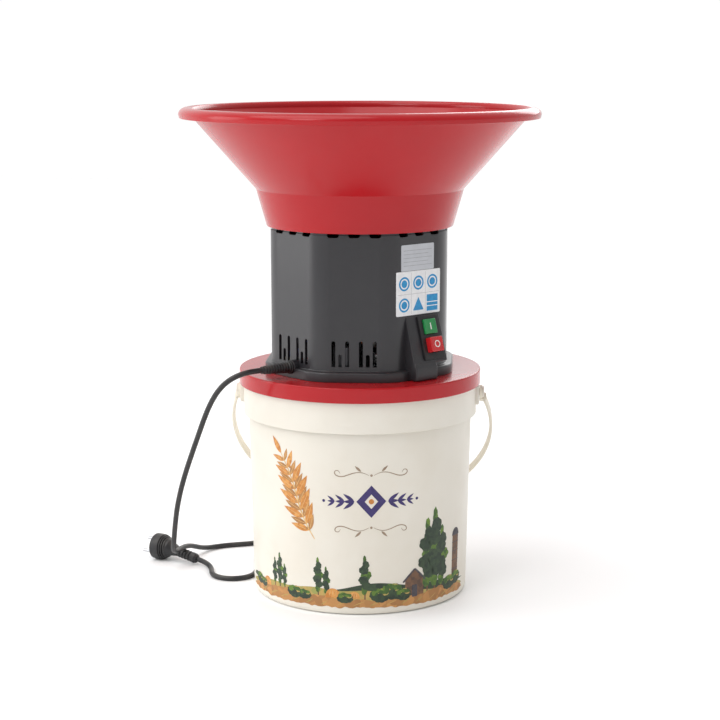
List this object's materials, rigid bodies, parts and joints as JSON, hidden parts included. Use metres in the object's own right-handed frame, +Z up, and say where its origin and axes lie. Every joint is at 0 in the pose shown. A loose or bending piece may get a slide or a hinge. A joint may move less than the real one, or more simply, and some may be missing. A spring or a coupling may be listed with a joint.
{
  "type": "electric grain mill",
  "caption": "Electric grain mill: feed hopper, eight-sided motor housing with start and stop buttons, lid with a blade and sieve chamber, bucket with a bail, mains lead and plug.",
  "frame": {"origin": "centre of the bucket's foot ring on the floor", "axes": "+Z up through the bucket, motor and hopper; the front of the bucket looks to -Y, the bail's pivots lie on X and the switch is on the face between -Y and +X"},
  "size_m": [0.5485, 0.4747, 0.637],
  "materials": {
    "bucket_plastic": "satin cream plastic",
    "bail_plastic": "satin cream plastic",
    "red_plastic": "glossy red plastic",
    "black_plastic": "satin near-black plastic",
    "switch_plastic": "satin black plastic",
    "green_key": "glossy green plastic",
    "red_key": "glossy red plastic",
    "seal_rubber": "matt grey rubber",
    "cord_rubber": "satin black rubber",
    "steel": "brushed steel",
    "plated_steel": "bright plated steel",
    "alloy": "cast light alloy",
    "iron": "dark laminated iron",
    "copper": "lacquered copper wire",
    "brass": "plain brass",
    "carbon": "matt carbon",
    "label_foil": "silver foil",
    "label_paper": "white film",
    "lead_plastic": "blue wire cover",
    "ivory_plastic": "ivory plastic"
  },
  "bodies": {
    "bucket": {"bucket": "bucket_plastic"},
    "bail": {"bail_handle": "bail_plastic"},
    "head": {"lid": "red_plastic", "lid_gasket": "seal_rubber", "motor_housing": "black_plastic", "hopper": "red_plastic", "feed_tube": "black_plastic", "hopper_screws": "plated_steel", "lid_screws": "plated_steel", "shutter_screw": "plated_steel", "motor_plate": "steel", "motor_plate_screws": "plated_steel", "lower_bracket": "alloy", "upper_bracket": "alloy", "bracket_bolts": "plated_steel", "stator_core": "iron", "field_coils": "copper", "brush_holders": "brass", "carbon_brushes": "carbon", "brush_springs": "steel", "lower_bearing_race": "steel", "upper_bearing_race": "steel", "bearing_balls": "plated_steel", "shaft_seal": "seal_rubber", "sieve_ring": "steel", "chamber_bottom": "steel", "chamber_studs": "plated_steel", "wing_nuts": "plated_steel", "switch_frame": "switch_plastic", "switch_body": "switch_plastic", "capacitor": "alloy", "terminal_block": "ivory_plastic", "inner_leads": "lead_plastic", "cord_clamp": "plated_steel", "rating_plate": "label_foil", "face_sticker": "label_paper", "cord_sleeve": "cord_rubber", "cord_lead": "cord_rubber", "cord_coil": "cord_rubber", "cord_tail": "cord_rubber", "plug_body": "cord_rubber", "plug_pins": "plated_steel", "plug_earth_strip": "plated_steel"},
    "shutter": {"feed_shutter": "steel", "shutter_knob": "black_plastic"},
    "rotor": {"rotor_shaft": "steel", "lower_bearing_ring": "steel", "upper_bearing_ring": "steel", "armature_core": "iron", "armature_winding": "copper", "commutator": "copper", "cooling_fan": "black_plastic", "blade_spacer": "steel", "upper_blade": "steel", "lower_blade": "steel", "blade_nut": "plated_steel"},
    "start_key": {"start_button": "green_key"},
    "stop_key": {"stop_button": "red_key"}
  },
  "joints": [
    {"name": "bail_swing", "type": "hinge", "parent": "bucket", "child": "bail", "pos_m": [0, 0, 0.265], "axis": [1, 0, 0], "range_deg": [0, 97]},
    {"name": "head_lift", "type": "slide", "parent": "bucket", "child": "head", "axis": [0, 0, 1], "range_m": [0, 0.1]},
    {"name": "shutter_turn", "type": "hinge", "parent": "head", "child": "shutter", "pos_m": [-0.02484, 0.07675, 0.493], "axis": [0, 0, 1], "range_deg": [0, 60]},
    {"name": "rotor_spin", "type": "hinge", "parent": "head", "child": "rotor", "pos_m": [0, 0, 0.35], "axis": [0, 0, 1], "continuous": true},
    {"name": "start_press", "type": "slide", "parent": "head", "child": "start_key", "axis": [-0.677, 0.677, -0.2888], "range_m": [0, 0.0025], "stiffness_N_per_m": 500, "springref_m": -0.003},
    {"name": "stop_press", "type": "slide", "parent": "head", "child": "stop_key", "axis": [-0.677, 0.677, -0.2888], "range_m": [0, 0.0025], "stiffness_N_per_m": 500, "springref_m": -0.003}
  ]
}
